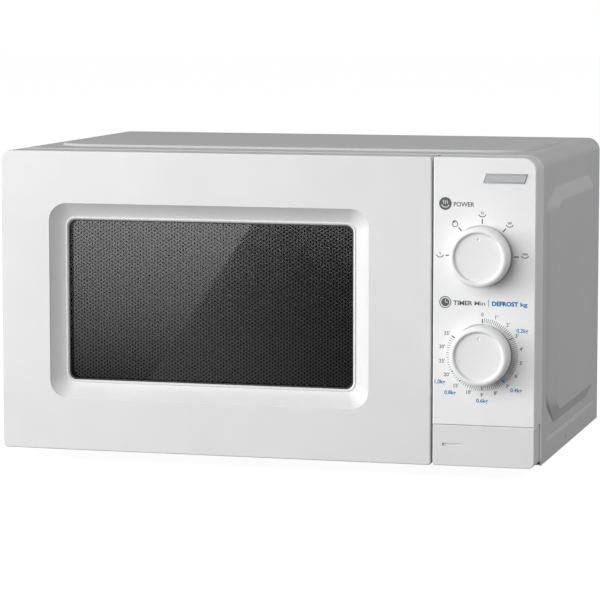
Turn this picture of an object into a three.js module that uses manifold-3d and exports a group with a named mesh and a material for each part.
// Countertop microwave oven, 20 litre class: turntable, two dials and a push button that
// opens the door. Millimetres, +Z up.
//
// Design frame: x runs right from the door's left edge, y runs back from the front face
// and z runs up from the door's bottom edge. The exported group moves that frame so that
// the origin is under the middle of the object, on the surface that its feet stand on.
import * as THREE from 'three';
import { mergeVertices } from 'three/addons/utils/BufferGeometryUtils.js';
import Module from 'manifold-3d';

const wasm = await Module();
wasm.setup();

// ---- driving dimensions ----
const GAP = 0.3; // clearance between pieces that touch
const SHEET = 1.2; // folded sheet steel
const face = { width: 440, height: 242.6, depth: 31.7, edge: 1 };
const door = { right: 357.3, back: 28, wall: 3, skin: 3 };
const panel = { left: 358.8, wall: 1.2, skin: 2.5, buttonTop: 33 };
const cabinet = { left: 0.7, right: 439.3, front: 32, back: 302, bottom: -2.1, top: 243, corner: 10.5 };
const foot = { radius: 10, height: 12, x: [42, 398], y: [85, 268] };
const knob = { radius: 23.5, height: 16, shaft: 3 };
const powerDial = { x: 397.65, z: 166.05 };
const timerDial = { x: 398.2, z: 88.9 };
const cove = { left: 41.6, right: 306.5, low: 42.5, high: 200.3, width: 13.4, depth: 8, corner: 4 };
const cavity = { left: 20, right: 320, low: 21, high: 221, front: 32.7, back: 289, corner: 8, sheet: 1 };
const turn = { x: 170, y: 161, trayRadius: 122.5, dishRadius: 116, dish: 2 };
const roller = { radius: 6.9, inner: 100, outer: 105, count: 3 };
const hinge = { x: 6, y: 20, pin: 2.5 };
const hook = { x: [343.5, 347], back: 46, low: 36, pitch: 150, height: 7 };
const lever = { y: 64, z: 48, pin: 2 };
const fan = { x: 380, z: 160, radius: 44, front: 266, back: 284 };
const emboss = { side: 6, top: 1.8 };
const boss = { reach: 8 };
const plate = { front: 31.2, back: 32.4, right: 356.8 };
const trayBottom = cavity.low - turn.dish + 2 * roller.radius + 2 * GAP;
const rollerAxisZ = cavity.low - turn.dish + roller.radius + GAP;

// ---- looks ----
const look = (color, roughness, metalness = 0, opacity = 1) =>
  new THREE.MeshStandardMaterial({ color, roughness, metalness, opacity, transparent: opacity < 1 });
const whitePlastic = look('#e6e6e6', 0.4);
const buttonPlastic = look('#d8d8d8', 0.45);
const paintedCabinet = look('#909292', 0.45, 0.3);
const paintedCavity = look('#c9cbc9', 0.4);
const galvanised = look('#b4b8bb', 0.4, 0.9);
const darkSteel = look('#3a3c3f', 0.5, 0.8);
const blackPlastic = look('#1c1d1f', 0.5);
const greyPlastic = look('#8a8c8e', 0.5);
const creamPlastic = look('#d9d2bd', 0.5);
const clearGlass = look('#dfe8ea', 0.05, 0, 0.4);
const darkGlass = look('#25272a', 0.08, 0, 0.6);
const copper = look('#a35a2c', 0.4, 0.8);
const aluminium = look('#c7c9cb', 0.35, 0.9);
const mica = look('#a89a76', 0.7);
const rubber = look('#232323', 0.85);
const circuitGreen = look('#2e6b45', 0.6);

// ---- closed shapes ----
const BASIS = {
  x: new THREE.Matrix4().makeBasis(
    new THREE.Vector3(0, 1, 0), new THREE.Vector3(0, 0, 1), new THREE.Vector3(1, 0, 0)),
  y: new THREE.Matrix4().makeBasis(
    new THREE.Vector3(1, 0, 0), new THREE.Vector3(0, 0, 1), new THREE.Vector3(0, -1, 0)),
  z: new THREE.Matrix4(),
};

function signedVolume(position, index) {
  const [a, b, c] = [new THREE.Vector3(), new THREE.Vector3(), new THREE.Vector3()];
  let sum = 0;
  for (let i = 0; i < index.length; i += 3) {
    a.fromBufferAttribute(position, index[i]);
    b.fromBufferAttribute(position, index[i + 1]);
    c.fromBufferAttribute(position, index[i + 2]);
    sum += a.dot(b.cross(c)) / 6;
  }
  return sum;
}

// A closed three.js geometry as a solid, with its faces pointing out.
function solid(geometry) {
  const bare = new THREE.BufferGeometry();
  bare.setAttribute('position', geometry.getAttribute('position'));
  if (geometry.index) bare.setIndex(geometry.index);
  const merged = mergeVertices(bare, 1e-4);
  const index = [];
  for (let i = 0; i < merged.index.count; i += 3) {
    const corner = [0, 1, 2].map((k) => merged.index.getX(i + k));
    if (new Set(corner).size === 3) index.push(...corner);
  }
  if (signedVolume(merged.attributes.position, index) < 0) index.reverse();
  const mesh = new wasm.Mesh({
    numProp: 3,
    vertProperties: new Float32Array(merged.attributes.position.array),
    triVerts: new Uint32Array(index),
  });
  return new wasm.Manifold(mesh);
}

function box([x0, x1], [y0, y1], [z0, z1]) {
  const geometry = new THREE.BoxGeometry(x1 - x0, y1 - y0, z1 - z0);
  geometry.translate((x0 + x1) / 2, (y0 + y1) / 2, (z0 + z1) / 2);
  return solid(geometry);
}

// An outline with rounded corners; the radii run anticlockwise from the low left corner,
// and a radius of 0 leaves a corner sharp.
function roundedOutline([u0, u1], [v0, v1], radii) {
  const list = Array.isArray(radii) ? radii : [radii, radii, radii, radii];
  const corners = [[u0, v0, 1, 1], [u1, v0, -1, 1], [u1, v1, -1, -1], [u0, v1, 1, -1]];
  const outline = new THREE.Shape();
  corners.forEach(([u, v, toU, toV], i) => {
    const radius = list[i];
    const start = Math.PI * (1 + i / 2);
    if (radius > 0) {
      outline.absarc(u + toU * radius, v + toV * radius, radius, start, start + Math.PI / 2, false);
    } else if (i === 0) {
      outline.moveTo(u, v);
    } else {
      outline.lineTo(u, v);
    }
  });
  return outline;
}

function circle(u, v, radius) {
  return new THREE.Shape().absarc(u, v, radius, 0, 2 * Math.PI, false);
}

// Extrudes an outline along an axis; edge rounds or bevels both ends inside its length.
// Each arc of the outline is drawn with this many segments, an even number.
function prism(outline, axis, [from, to], { segments = 4, edge = 0, steps = 1 } = {}) {
  const geometry = new THREE.ExtrudeGeometry(outline, {
    depth: to - from - 2 * edge,
    curveSegments: segments / 2,
    bevelEnabled: edge > 0,
    bevelThickness: edge,
    bevelSize: edge,
    bevelOffset: -edge,
    bevelSegments: steps,
  });
  geometry.translate(0, 0, axis === 'y' ? edge - to : edge + from);
  geometry.applyMatrix4(BASIS[axis]);
  return solid(geometry);
}

function rod(axis, [u, v], radius, span, segments = 20) {
  return prism(circle(u, v, radius), axis, span, { segments });
}

// A closed ring between two radii.
function tube(axis, [u, v], [inner, outer], span, segments = 24) {
  const outline = circle(u, v, outer);
  outline.holes.push(new THREE.Path().absarc(u, v, inner, 0, 2 * Math.PI, true));
  return prism(outline, axis, span, { segments });
}

// Turns a profile of [radius, height] points; the axis names where height points.
function turned(profile, axis, segments) {
  const points = profile.map(([radius, height]) => new THREE.Vector2(radius, height));
  const geometry = new THREE.LatheGeometry(points, segments);
  if (axis === 'x') geometry.rotateZ(-Math.PI / 2);
  if (axis === '-y') geometry.rotateX(Math.PI);
  if (axis === 'z') geometry.rotateX(Math.PI / 2);
  return solid(geometry);
}

// Skins a stack of rings that have the same number of points, and closes both ends.
function loft(rings) {
  const size = rings[0].length;
  const index = [];
  for (let r = 0; r + 1 < rings.length; r += 1) {
    for (let i = 0; i < size; i += 1) {
      const [a, b] = [r * size + i, r * size + ((i + 1) % size)];
      index.push(a, b, b + size, a, b + size, a + size);
    }
  }
  const flat = rings[0].map((p) => new THREE.Vector2(p.u, p.v));
  const last = (rings.length - 1) * size;
  for (const [a, b, c] of THREE.ShapeUtils.triangulateShape(flat, [])) {
    index.push(c, b, a, last + a, last + b, last + c);
  }
  const geometry = new THREE.BufferGeometry();
  const xyz = rings.flat().flatMap((p) => p.xyz);
  geometry.setAttribute('position', new THREE.Float32BufferAttribute(xyz, 3));
  geometry.setIndex(index);
  return solid(geometry);
}

const union = (...bodies) => bodies.reduce((sum, body) => sum.add(body));
const cut = (body, ...tools) => tools.reduce((rest, tool) => rest.subtract(tool), body);
const range = (count) => [...Array(count).keys()];

// ---- the scene graph ----
const oven = new THREE.Group();
oven.position.set(-face.width / 2, (knob.height - cabinet.back - boss.reach) / 2, foot.height);

function part(name, body, material, at = [0, 0, 0], turnZ = 0) {
  const { vertProperties, triVerts } = body.getMesh();
  const geometry = new THREE.BufferGeometry();
  geometry.setAttribute('position', new THREE.BufferAttribute(vertProperties, 3));
  geometry.setIndex(new THREE.BufferAttribute(triVerts, 1));
  geometry.computeVertexNormals();
  const mesh = new THREE.Mesh(geometry, material);
  mesh.name = name;
  mesh.position.set(...at);
  mesh.rotation.z = turnZ;
  oven.add(mesh);
}

// ---- cabinet ----
function coverOutline(inset, low) {
  const [x0, x1, z1] = [cabinet.left + inset, cabinet.right - inset, cabinet.top - inset];
  const radius = cabinet.corner - inset;
  return roundedOutline([x0, x1], [low, z1], [0, 0, radius, radius]);
}

// The side emboss: a leaf-shaped outline whose front corners sweep back.
function sideOutline({ front, back, low, high, corner, sweep }) {
  const outline = new THREE.Shape();
  outline.moveTo(back, low);
  outline.lineTo(back, high);
  outline.lineTo(corner, high);
  outline.quadraticCurveTo(front, high - 0.42 * sweep, front, high - sweep);
  outline.lineTo(front, low + 1.2 * sweep);
  outline.quadraticCurveTo(front + 0.18 * (corner - front), low + 0.6 * sweep, corner, low);
  return outline.getPoints(4);
}

function sideEmboss(side, inset) {
  const wall = side > 0 ? cabinet.right : cabinet.left;
  const grow = -0.6 * inset;
  const outer = { front: 48, back: 243.7, low: 24.8, high: 214.7, corner: 88, sweep: 21 };
  const middle = { front: 57, back: 240.3, low: 31.7, high: 208.9, corner: 84.1, sweep: 15 };
  const inner = { front: 71, back: 238, low: 36.3, high: 205, corner: 81.5, sweep: 11 };
  const stages = [[outer, -2], [outer, 0], [middle, 0.6 * emboss.side], [inner, emboss.side]];
  const rings = stages.map(([s, height]) => sideOutline({
    ...s, front: s.front - grow, back: s.back + grow, low: s.low - grow, high: s.high + grow,
  }).map((p) => ({ u: p.x, v: p.y, xyz: [wall + side * (height - inset), p.x, p.y] })));
  return loft(rings);
}

function topEmboss(inset) {
  const ring = (shrink, height) => roundedOutline(
    [22 + shrink, 417 - shrink], [60 + shrink, 240 - shrink], [38, 38, 12, 12]).getPoints(5)
    .map((p) => ({ u: p.x, v: p.y, xyz: [p.x, p.y, cabinet.top + height - inset] }));
  return loft([ring(inset, -2), ring(inset, 0), ring(inset + 4, emboss.top)]);
}

function outerCover() {
  const beads = [cabinet.left, cabinet.right].map((wall) => {
    const inward = wall > 100 ? -1 : 1;
    const deep = [wall, wall + 2 * inward * SHEET].sort((a, b) => a - b);
    const groove = [wall - inward, wall + inward * SHEET].sort((a, b) => a - b);
    return {
      backing: box(deep, [53.8, 286.2], [11.5, 18.9]),
      groove: prism(roundedOutline([55, 285], [12.7, 17.7], 2), 'x', groove, { segments: 2 }),
      slot: box([wall - 3, wall + 3], [141.5, 144.5], [3, 7]),
    };
  });
  const sides = [-1, 1];
  const outside = union(
    prism(coverOutline(0, cabinet.bottom), 'y', [cabinet.front, cabinet.back], { segments: 6 }),
    topEmboss(0), ...sides.map((side) => sideEmboss(side, 0)));
  const inside = union(
    prism(coverOutline(SHEET, -20), 'y', [cabinet.front - 5, cabinet.back + 5], { segments: 6 }),
    topEmboss(SHEET), ...sides.map((side) => sideEmboss(side, SHEET)));
  const shell = cut(outside, inside);
  const backed = union(shell, ...beads.map((bead) => bead.backing));
  return cut(backed, ...beads.flatMap((bead) => [bead.groove, bead.slot]));
}

const inset = { left: cabinet.left + SHEET + 0.5, right: cabinet.right - SHEET - 0.5 };

function basePlate() {
  const sheet = [cabinet.bottom + GAP, cabinet.bottom + GAP + SHEET];
  const slab = box([inset.left, inset.right], [33, 300.2], sheet);
  const pegs = foot.x.flatMap((x) => foot.y.map((y) => rod('z', [x, y], 3.3, [-5, 2], 12)));
  const slots = range(6).map((i) => box([350, 410], [180 + 10 * i, 184 + 10 * i], [-5, 2]));
  return cut(slab, ...pegs, ...slots);
}

function rearPanel() {
  const sheet = [300.6, 300.6 + SHEET];
  const radius = cabinet.corner - SHEET - 0.5;
  const outline = roundedOutline([inset.left, inset.right], [-0.3, 241.3], [1, 1, radius, radius]);
  const ring = (shrink, y) => roundedOutline([95 + shrink, 215 - shrink], [85 + shrink, 175 - shrink], 10)
    .getPoints(3).map((p) => ({ u: p.x, v: p.y, xyz: [p.x, y, p.y] }));
  const reach = cabinet.back + boss.reach;
  const spacer = loft([ring(0, sheet[0]), ring(0, sheet[1]), ring(10, reach)]);
  const hollow = loft([ring(1.5, 295), ring(1.5, sheet[1]), ring(11.5, reach - SHEET)]);
  const intake = range(9).map((i) => {
    const half = Math.sqrt(42 ** 2 - (10 * (i - 4)) ** 2);
    const [x, z] = [fan.x + 10 * (i - 4), fan.z];
    return box([x - 2.5, x + 2.5], [295, 305], [z - half, z + half]);
  });
  const exhaust = range(10).map((i) => box([40 + 9 * i, 44 + 9 * i], [295, 305], [205, 225]));
  const lower = range(7).map((i) => box([330 + 9 * i, 334 + 9 * i], [295, 305], [58, 78]));
  const screws = rearScrews.map(([x, z]) => rod('y', [x, z], 2.2, [295, 305], 12));
  const gland = rod('y', [cordInlet.x, cordInlet.z], 6.5, [295, 305], 20);
  return cut(union(prism(outline, 'y', sheet), spacer), hollow, ...intake, ...exhaust, ...lower,
    ...screws, gland);
}

const rearScrews = [[16, 120], [423, 60]];
const cordInlet = { x: 398, z: 32 };

function cordBushing() {
  const profile = [[3.7, -3.2], [8.4, -3.2], [8.4, -GAP], [6.1, -GAP], [6.1, SHEET + GAP],
    [9.2, SHEET + GAP], [8.2, 4.6], [5.4, 8.2], [3.7, 8.2], [3.7, -3.2]];
  const turnedAlongY = turned(profile.map(([r, h]) => [r, -h]), '-y', 16);
  part('cord_bushing', turnedAlongY, blackPlastic, [cordInlet.x, 300.6, cordInlet.z]);
}

function screw(name, at) {
  const shank = rod('y', [0, 0], 1.8, [-9, 0.6], 10);
  const head = prism(circle(0, 0, 3.8), 'y', [GAP, 2.7], { segments: 16, edge: 0.6 });
  const drive = union(box([-2.2, 2.2], [1.4, 4], [-0.5, 0.5]), box([-0.5, 0.5], [1.4, 4], [-2.2, 2.2]));
  part(name, cut(union(shank, head), drive), galvanised, at);
}

function foots() {
  const names = ['front_left', 'rear_left', 'front_right', 'rear_right'];
  const places = foot.x.flatMap((x) => foot.y.map((y) => [x, y]));
  const low = cabinet.bottom + GAP;
  const profile = [[0, -foot.height], [foot.radius - 2, -foot.height], [foot.radius - 1, 1 - foot.height],
    [foot.radius, low - GAP - 1.5], [foot.radius - 0.5, low - GAP], [3, low - GAP], [3, low + SHEET + GAP],
    [4.2, low + SHEET + GAP], [2, low + SHEET + 4], [0, low + SHEET + 4]];
  names.forEach((name, i) => part(`foot_${name}`, turned(profile, 'z', 16), rubber, [...places[i], 0]));
}

function frontPlate() {
  const outline = roundedOutline([inset.left, plate.right], [-0.4, 241.3], [1, 1, 1, 8.8]);
  const mouth = roundedOutline([cavity.left, cavity.right], [cavity.low, cavity.high], cavity.corner);
  const slots = [0, hook.pitch].map((dz) => box([340, 352], [30, 40], [hook.low - 6 + dz, hook.low + 12 + dz]));
  return cut(prism(outline, 'y', [plate.front, plate.back]), prism(mouth, 'y', [30, 40]), ...slots);
}

part('outer_cover', outerCover(), paintedCabinet);
part('base_plate', basePlate(), galvanised);
part('rear_panel', rearPanel(), galvanised);
part('front_plate', frontPlate(), paintedCavity);
cordBushing();
rearScrews.forEach(([x, z], i) => screw(`rear_screw_${i + 1}`, [x, 300.6 + SHEET, z]));
foots();

// ---- cooking cavity and turntable ----
function cavityBox() {
  const { left, right, low, high, front, back, corner, sheet } = cavity;
  const outline = (out) => roundedOutline(
    [left - out, right + out], [low - out, high + out], corner + out);
  const wide = prism(outline(sheet), 'y', [front, back]);
  const flange = prism(outline(5), 'y', [front, front + sheet]);
  const dishOut = rod('z', [turn.x, turn.y], turn.dishRadius + sheet, [low - turn.dish - sheet, low + 1], 48);
  const room = prism(outline(0), 'y', [front - 3, back - sheet]);
  const dish = rod('z', [turn.x, turn.y], turn.dishRadius, [low - turn.dish, low + 1], 48);
  const spindle = rod('z', [turn.x, turn.y], 8.5, [low - 6, low + 2], 20);
  const window = box([right - 3, right + 3], [112, 212], [92, 152]);
  const lampSlots = range(5).map((i) => box([right - 3, right + 3], [58 + 6 * i, 61 + 6 * i], [203, 217]));
  const steamSlots = range(8).map((i) => box([left - 3, left + 3], [220 + 6 * i, 223 + 6 * i], [198, 212]));
  return cut(union(wide, flange, dishOut), room, dish, spindle, window, ...lampSlots, ...steamSlots);
}

function turntable() {
  const floor = cavity.low - turn.dish;
  const axis = [turn.x, turn.y];
  const motor = union(
    rod('z', axis, 24.5, [2, floor - 2], 32),
    box([turn.x - 30, turn.x + 30], [turn.y - 5, turn.y + 5], [floor - 4, floor - 2]),
    box([turn.x - 12, turn.x + 12], [turn.y - 36, turn.y - 20], [3, 12]));
  part('turntable_motor', motor, galvanised);
  const armTop = trayBottom - 1;
  const arms = range(3).map((i) => {
    const arm = box([0, 17], [-3.2, 3.2], [armTop - 5, armTop]);
    return arm.rotate([0, 0, 120 * i + 90]).translate([turn.x, turn.y, 0]);
  });
  const hub = rod('z', axis, 7, [floor - 1.6, armTop], 20);
  part('turntable_coupler', union(hub, ...arms), greyPlastic);
  const glass = [[0, 0], [turn.trayRadius - 18, 0], [turn.trayRadius - 10, 1.8], [turn.trayRadius - 1.6, 9],
    [turn.trayRadius, 10.4], [turn.trayRadius, 11.6], [turn.trayRadius - 2, 12], [turn.trayRadius - 12, 5.4],
    [turn.trayRadius - 19, 4], [0, 4]];
  const lugs = range(3).map((i) => box([11, 14.5], [-4, 4], [-4, 1]).rotate([0, 0, 120 * i + 30]));
  part('glass_tray', union(turned(glass, 'z', 48), ...lugs), clearGlass, [...axis, trayBottom]);
}

function rollerRing() {
  const stubs = range(roller.count).map((i) => union(
    rod('x', [0, 0], 1.6, [90, roller.outer + 1.6], 12),
    rod('x', [0, 0], 2.4, [roller.outer + 0.5, roller.outer + 2], 12),
  ).rotate([0, 0, 120 * i + 30]));
  const band = tube('z', [0, 0], [88, 96], [-2.6, 2.6], 40);
  const at = [turn.x, turn.y, rollerAxisZ];
  part('roller_ring', union(band, ...stubs), greyPlastic, at);
  range(roller.count).forEach((i) => {
    const angle = THREE.MathUtils.degToRad(120 * i + 30);
    const wheel = cut(
      prism(circle(0, 0, roller.radius), 'x', [roller.inner, roller.outer], { segments: 24, edge: 0.8 }),
      rod('x', [0, 0], 1.9, [0, 200], 12));
    part(`roller_${i + 1}`, wheel, creamPlastic, at, angle);
  });
}

part('cavity', cavityBox(), paintedCavity);
turntable();
rollerRing();

// ---- microwave source, in the space right of the cavity ----
const bay = { left: cavity.right + cavity.sheet + GAP, right: inset.right };
const magnetronAxis = { y: 180, z: 178 };

function waveguide() {
  const [x, y, z] = [[bay.left, 350], [108, 222], [88, 204]];
  const shell = cut(box(x, y, z), box([x[0] + 1, x[1] - 1], [y[0] + 1, y[1] - 1], [z[0] + 1, z[1] - 1]));
  const mouth = box([x[0] - 2, x[0] + 2], [112, 212], [92, 152]);
  return cut(shell, mouth, rod('x', [magnetronAxis.y, magnetronAxis.z], 9.5, [345, 355], 20));
}

function magnetron() {
  const { y, z } = magnetronAxis;
  const yoke = box([350.5, 410], [y - 40, y + 40], [z - 46, z + 34]);
  const antenna = rod('x', [y, z], 8, [334, 352], 20);
  const fins = range(6).map((i) => box([356 + 8 * i, 360.5 + 8 * i], [y - 50, y + 50], [z - 34, z + 22]));
  const anode = rod('x', [y, z - 6], 20, [351, 409], 20);
  const filterBox = box([409, 433], [y - 24, y + 24], [z - 30, z + 18]);
  part('magnetron', union(cut(union(yoke, antenna), ...fins), anode, filterBox), aluminium);
}

function transformer() {
  const [x, y, z] = [[352, 428], [206, 256], [2, 66]];
  const middle = (x[0] + x[1]) / 2;
  const windows = [-1, 1].map((side) => {
    const near = middle + side * 12;
    const far = middle + side * 26;
    return box([Math.min(near, far), Math.max(near, far)], [y[0] - 5, y[1] + 5], [z[0] + 12, z[1] - 12]);
  });
  part('transformer_core', cut(box(x, y, z), ...windows), darkSteel);
  const coil = (heights) => {
    const loop = roundedOutline([middle - 25.6, middle + 25.6], [y[0] - 13, y[1] + 13], 9);
    loop.holes.push(new THREE.Path(roundedOutline(
      [middle - 12.4, middle + 12.4], [y[0] - 0.4, y[1] + 0.4], 1).getPoints(1).reverse()));
    return prism(loop, 'z', heights, { segments: 3 });
  };
  part('transformer_primary_coil', coil([z[0] + 12.4, z[0] + 31]), copper);
  part('transformer_secondary_coil', coil([z[0] + 32, z[1] - 12.4]), copper);
}

function smallElectrics() {
  const can = prism(roundedOutline([372, 424], [2, 34], 15.9), 'y', [98, 184], { segments: 5, edge: 1 });
  part('hv_capacitor', can, aluminium);
  const cutout = union(rod('z', [230, 161], 7, [223.6, 232], 16), box([217, 243], [155, 167], [222.3, 223.8]));
  part('thermal_cutout', cutout, blackPlastic);
  const board = union(box([340, 430], [236, 294], [219, 220.6]), box([350, 372], [244, 268], [220, 236]),
    rod('y', [400, 225], 5, [246, 276], 12), box([386, 414], [280, 290], [220, 232]));
  part('filter_board', board, circuitGreen);
  part('lamp_holder', union(box([bay.left + 1, 344], [60, 83], [221, 223]),
    rod('x', [72, 212], 8, [334, 350], 16), box([333, 336], [62, 82], [211, 222])), creamPlastic);
  const bulb = [[0, 0], [5.5, 0], [6.6, 3], [5.8, 7], [3, 9.6], [0, 10.4]];
  part('cavity_lamp', turned(bulb.map(([r, h]) => [r, -h]), 'x', 16), clearGlass, [332.7, 72, 212]);
  part('mica_cover', prism(roundedOutline([106, 218], [86, 158], 3), 'x',
    [cavity.right - 1, cavity.right - GAP], { segments: 1 }), mica);
}

function coolingFan() {
  const { x, z, radius, front, back } = fan;
  const blades = range(5).map((i) => {
    const blade = new THREE.BoxGeometry(radius - 9, 1.6, 20);
    blade.rotateX(Math.PI * 0.3);
    blade.translate((radius + 7) / 2, 0, 0);
    blade.rotateY((2 * Math.PI * i) / 5);
    blade.translate(x, (front + back) / 2, z);
    return solid(blade);
  });
  const hub = rod('y', [x, z], 11, [front + 1, back - 1], 16);
  part('cooling_fan', union(hub, ...blades, rod('y', [x, z], 2, [254, front + 2], 10)), greyPlastic);
  const housing = cut(
    union(box([bay.left + 3, 434], [288, 289.6], [107, 213]), tube('y', [x, z], [46.5, 48.5], [258, 288.5], 32)),
    rod('y', [x, z], 46.5, [280, 295], 32));
  part('fan_housing', housing, greyPlastic);
  const motor = cut(
    union(box([x - 28, x + 28], [238, 252], [z - 22, z + 22]), box([x - 14, x + 14], [234, 256], [z - 38, z - 14])),
    rod('y', [x, z], 2.5, [230, 260], 10));
  part('fan_motor', motor, darkSteel);
  const duct = union(box([bay.left + 1, 412], [84, 107.6], [134, 208]), box([350.5, 412], [84, 129], [134, 208]));
  const flow = union(box([0, 410.5], [85.5, 106.1], [135.5, 206.5]), box([352, 410.5], [100, 150], [135.5, 206.5]));
  part('air_duct', cut(duct, flow), greyPlastic);
}

part('waveguide', waveguide(), galvanised);
magnetron();
transformer();
smallElectrics();
coolingFan();

// ---- door ----
function doorFrame() {
  const outline = roundedOutline([0, door.right], [0, face.height], [4, 2, 2, 8.5]);
  const block = prism(outline, 'y', [0, door.back], { segments: 5, edge: face.edge, steps: 2 });
  const inner = {
    x: [cove.left + cove.width, cove.right - cove.width],
    z: [cove.low + cove.width, cove.high - cove.width],
  };
  const recess = new THREE.ExtrudeGeometry(roundedOutline(inner.x, inner.z, cove.corner), {
    depth: 2, curveSegments: 4, bevelThickness: cove.depth, bevelSize: cove.width, bevelSegments: 4,
  });
  recess.applyMatrix4(BASIS.y);
  const sight = prism(roundedOutline([inner.x[0] + 0.4, inner.x[1] - 0.4], [inner.z[0] + 0.4, inner.z[1] - 0.4], 4),
    'y', [5, 15]);
  const glassSeat = box([49.5, 298.5], [9.6, 12], [51.5, 192]);
  const side = door.right - door.wall;
  const pocket = box([8.6, side], [11, 40], [9.8, 230.4]);
  const hollow = cut(box([9, side - 0.5], [door.skin, 12], [10, 230]), box([38, 310], [0, 20], [39, 204]));
  const notches = [[-1, 4.7], [235.2, 240.6]].map((z) => box([-1, 12.5], [13, 40], z));
  const relief = [[3, 10.5], [229.5, 239.6]].map((z) => box([13.2, side - 1], [door.skin + 1, 40], z));
  const pinHoles = rod('z', [hinge.x, hinge.y], hinge.pin + GAP, [-1, 9.3], 16)
    .add(rod('z', [hinge.x, hinge.y], hinge.pin + GAP, [231, 240], 16));
  const springSeat = box([338, side + 1], [door.skin - 1, 24], [20, 22.2]);
  const hookSlots = [0, hook.pitch].map((dz) => box(
    [hook.x[0] - 1.5, hook.x[1] + 1.5], [20, 30], [hook.low + dz - 6, hook.low + dz + 11]));
  const latchStrip = cut(box([334.6, side + 1], [26.4, door.back], [9, 231]), ...hookSlots);
  return union(
    cut(block, solid(recess), sight, glassSeat, pocket, hollow, ...notches, ...relief, pinHoles),
    springSeat, latchStrip);
}

const pan = { x: [12, 334], z: [12, 229], front: 13.5 };

function doorScreen() {
  const { x, z, front } = pan;
  const tray = box(x, [front, 27.5], z);
  return cut(tray, box([x[0] + 0.8, x[1] - 0.8], [front + 0.8, 40], [z[0] + 0.8, z[1] - 0.8]));
}

function chokeCover() {
  const window = [[46, 302], [48, 195]];
  const rim = cut(
    prism(roundedOutline([pan.x[0] + 1.2, pan.x[1] - 1.2], [pan.z[0] + 1.2, pan.z[1] - 1.2], 4), 'y',
      [28, 30.6], { edge: 0.6 }),
    box(window[0], [0, 40], window[1]));
  const wall = cut(box([44, 304], [14.8, 28.7], [46, 197]), box(window[0], [0, 40], window[1]));
  return union(rim, wall);
}

function doorLatch() {
  const bar = box([341.5, 349], [14, 21], [hook.low - 1, hook.low + hook.pitch + hook.height + 1]);
  const hooks = [0, hook.pitch].map((dz) => {
    const outline = new THREE.Shape();
    outline.moveTo(18, hook.low + dz);
    outline.lineTo(hook.back, hook.low + dz);
    outline.lineTo(hook.back, hook.low + dz + 5);
    outline.lineTo(hook.back - 3, hook.low + dz + hook.height + 2.7);
    outline.lineTo(hook.back - 4.5, hook.low + dz + hook.height + 2.7);
    outline.lineTo(hook.back - 4.5, hook.low + dz + hook.height);
    outline.lineTo(18, hook.low + dz + hook.height);
    return prism(outline, 'x', hook.x);
  });
  return union(bar, ...hooks);
}

// A close-wound wire, drawn as a helix tube with flat ends.
function latchSpring() {
  const [low, high, turns, radius] = [23.3, hook.low - 2.3, 4, 2.6];
  class Helix extends THREE.Curve {
    getPoint(t, target = new THREE.Vector3()) {
      const angle = 2 * Math.PI * turns * t;
      return target.set(radius * Math.cos(angle), radius * Math.sin(angle), low + (high - low) * t);
    }
  }
  const geometry = new THREE.ExtrudeGeometry(circle(0, 0, 0.5), {
    steps: 32, curveSegments: 3, bevelEnabled: false, extrudePath: new Helix(),
  });
  part('latch_spring', solid(geometry), galvanised, [345.2, 17.5, 0]);
}

function hinges() {
  [['bottom', [1.4, 2.9], [-0.4, 4.4], [1, 9]], ['top', [237, 238.5], [235.5, 240.3], [231.3, 238.9]]]
    .forEach(([name, arm, flange, pin]) => {
      const bracket = union(
        rod('z', [hinge.x, hinge.y], 5, arm, 20),
        box([hinge.x - 5, hinge.x + 5], [hinge.y, 30.8], arm),
        box([hinge.x - 3, 34], [29.8, 30.9], flange));
      const hole = rod('z', [hinge.x, hinge.y], hinge.pin + GAP, [-5, 245], 16);
      part(`hinge_bracket_${name}`, cut(bracket, hole), galvanised);
      part(`hinge_pin_${name}`, rod('z', [hinge.x, hinge.y], hinge.pin, pin, 16), galvanised);
    });
}

part('door_frame', doorFrame(), whitePlastic);
part('door_glass', prism(roundedOutline([50, 298], [52, 191.5], 3), 'y', [9.9, 13.1], { segments: 2 }),
  darkGlass);
part('door_screen', doorScreen(), darkSteel);
part('choke_cover', chokeCover(), blackPlastic);
part('inner_pane', box([46.4, 301.6], [26.4, 27.8], [48.4, 194.6]), darkGlass);
part('door_latch', doorLatch(), greyPlastic);
latchSpring();
hinges();

// ---- interlock behind the front plate ----
function interlockBracket() {
  const wall = box([334.3, 336.3], [33, 78], [12, 203]);
  const front = box([334.3, 356], [33, 35], [12, 203]);
  const shelf = box([335, 408], [50, 76], [13, 15]);
  const ear = box([405.5, 408.5], [56, 72], [12, 54]);
  const slots = [0, hook.pitch].map((dz) => box([340, 352], [30, 40], [hook.low - 6 + dz, hook.low + 12 + dz]));
  const holes = rod('x', [lever.y, lever.z], lever.pin + GAP, [330, 412], 12);
  return cut(union(wall, front, shelf, ear), ...slots, holes);
}

function doorSwitch(name, low) {
  const body = union(box([337, 347.3], [49, 65], [low, low + 27.8]), box([340, 344], [47, 50], [low + 18, low + 21]),
    box([340.5, 343.5], [64, 71], [low + 4, low + 5]), box([340.5, 343.5], [64, 71], [low + 22, low + 23]));
  part(name, body, blackPlastic);
}

function releaseLever() {
  const turnAxis = [lever.y, lever.z];
  const body = union(
    rod('x', turnAxis, 4.4, [337.2, 405], 16),
    box([hook.x[0] - 0.5, 349], [hook.back - 4.5, lever.y], [46.5, 51]),
    box([396, 404], [61.5, 66.5], [21, 48]));
  part('release_lever', cut(body, rod('x', turnAxis, lever.pin + GAP, [300, 420], 12)), creamPlastic);
  part('lever_pin', rod('x', turnAxis, lever.pin, [333.5, 411], 12), galvanised);
}

part('interlock_bracket', interlockBracket(), creamPlastic);
['door_switch_lower', 'door_switch_middle', 'door_switch_upper']
  .forEach((name, i) => doorSwitch(name, 66 + 38 * i));
releaseLever();

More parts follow.
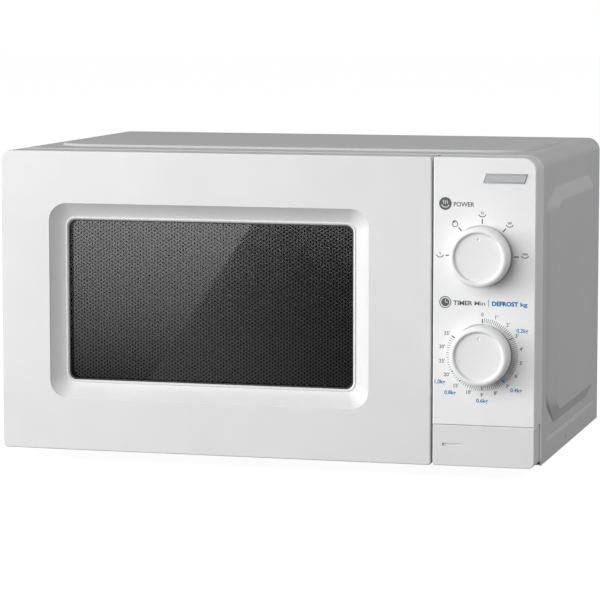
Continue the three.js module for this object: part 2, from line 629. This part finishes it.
// ---- control panel ----
function controlPanel() {
  const outline = roundedOutline([panel.left, face.width], [0, face.height], [1.5, 5, 10, 1.5]);
  const block = prism(outline, 'y', [0, face.depth], { segments: 5, edge: face.edge, steps: 2 });
  const walls = [panel.left + panel.wall, face.width - panel.wall];
  const rear = roundedOutline([walls[0] + 1, walls[1] - 1], [panel.buttonTop + 2, face.height - 2], [1, 1, 8, 1]);
  const button = box(walls, [-1, face.depth - 2], [-1, panel.buttonTop]);
  const stemHole = box([395, 405], [20, 40], [18, 30]);
  const shafts = [powerDial, timerDial].map(({ x, z }) => rod('y', [x, z], 4, [-1, 5], 16));
  return cut(block, prism(rear, 'y', [panel.skin, 40]), button, stemHole, ...shafts);
}

function releaseButton() {
  const [x, z] = [[panel.left + panel.wall + GAP, face.width - panel.wall - GAP], [GAP, panel.buttonTop - GAP]];
  const cap = prism(roundedOutline(x, z, [1.2, 4, 1, 1]), 'y', [0, 16], { segments: 4, edge: 0.8, steps: 2 });
  const hollow = box([x[0] + 2, x[1] - 2.4], [panel.skin, 20], [z[0] + 2.4, z[1] - 2]);
  const mark = union(box([367.4, 382.4], [-1, 0.6], [16.5, 17.9]), rod('y', [367.9, 17.2], 1.1, [-1, 0.8], 12));
  const stem = union(
    box([396.5, 403.5], [panel.skin - 1, 50], [20, 28]), box([396.5, 403.5], [49, 61.2], [20.5, 23.5]));
  return union(cut(cap, hollow, mark), stem);
}

function dial(name, { x, z }) {
  const { radius, height, shaft } = knob;
  const profile = [[0, 0.6], [radius - 1, 0.6], [radius - 0.3, 1.4], [radius, height - 4.4],
    [radius - 0.5, height - 2.2], [radius - 1.7, height - 0.6], [radius - 3, height], [radius - 3.7, height - 0.3],
    [radius - 5.2, height - 1.9], [radius - 12, height - 2.2], [0, height - 2.4]];
  const dimple = new THREE.SphereGeometry(1.5, 12, 8).translate(0, -(height - 1.7), 13.6);
  const body = cut(turned(profile, '-y', 36), solid(dimple), rod('y', [0, 0], shaft + GAP, [-10, 5], 16));
  part(`${name}_knob`, body, whitePlastic, [x, 0, z]);
  part(`${name}_shaft`, rod('y', [0, 0], shaft, [-9.5, 3.7], 16), galvanised, [x, 0, z]);
}

part('control_panel', controlPanel(), whitePlastic);
part('release_button', releaseButton(), buttonPlastic);
dial('power', powerDial);
dial('timer', timerDial);
part('power_selector', box([powerDial.x - 26, powerDial.x + 26], [4, 34], [146, 186]), creamPlastic);
part('timer_unit', union(box([timerDial.x - 28, timerDial.x + 28], [4, 42], [62, 116]),
  rod('y', [timerDial.x, timerDial.z], 22, [42, 50], 24)), galvanised);
part('panel_badge', prism(roundedOutline([398, 433], [223, 230.4], 1.5), 'y', [-0.9, -GAP], { edge: 0.2 }),
  greyPlastic);

export default oven;
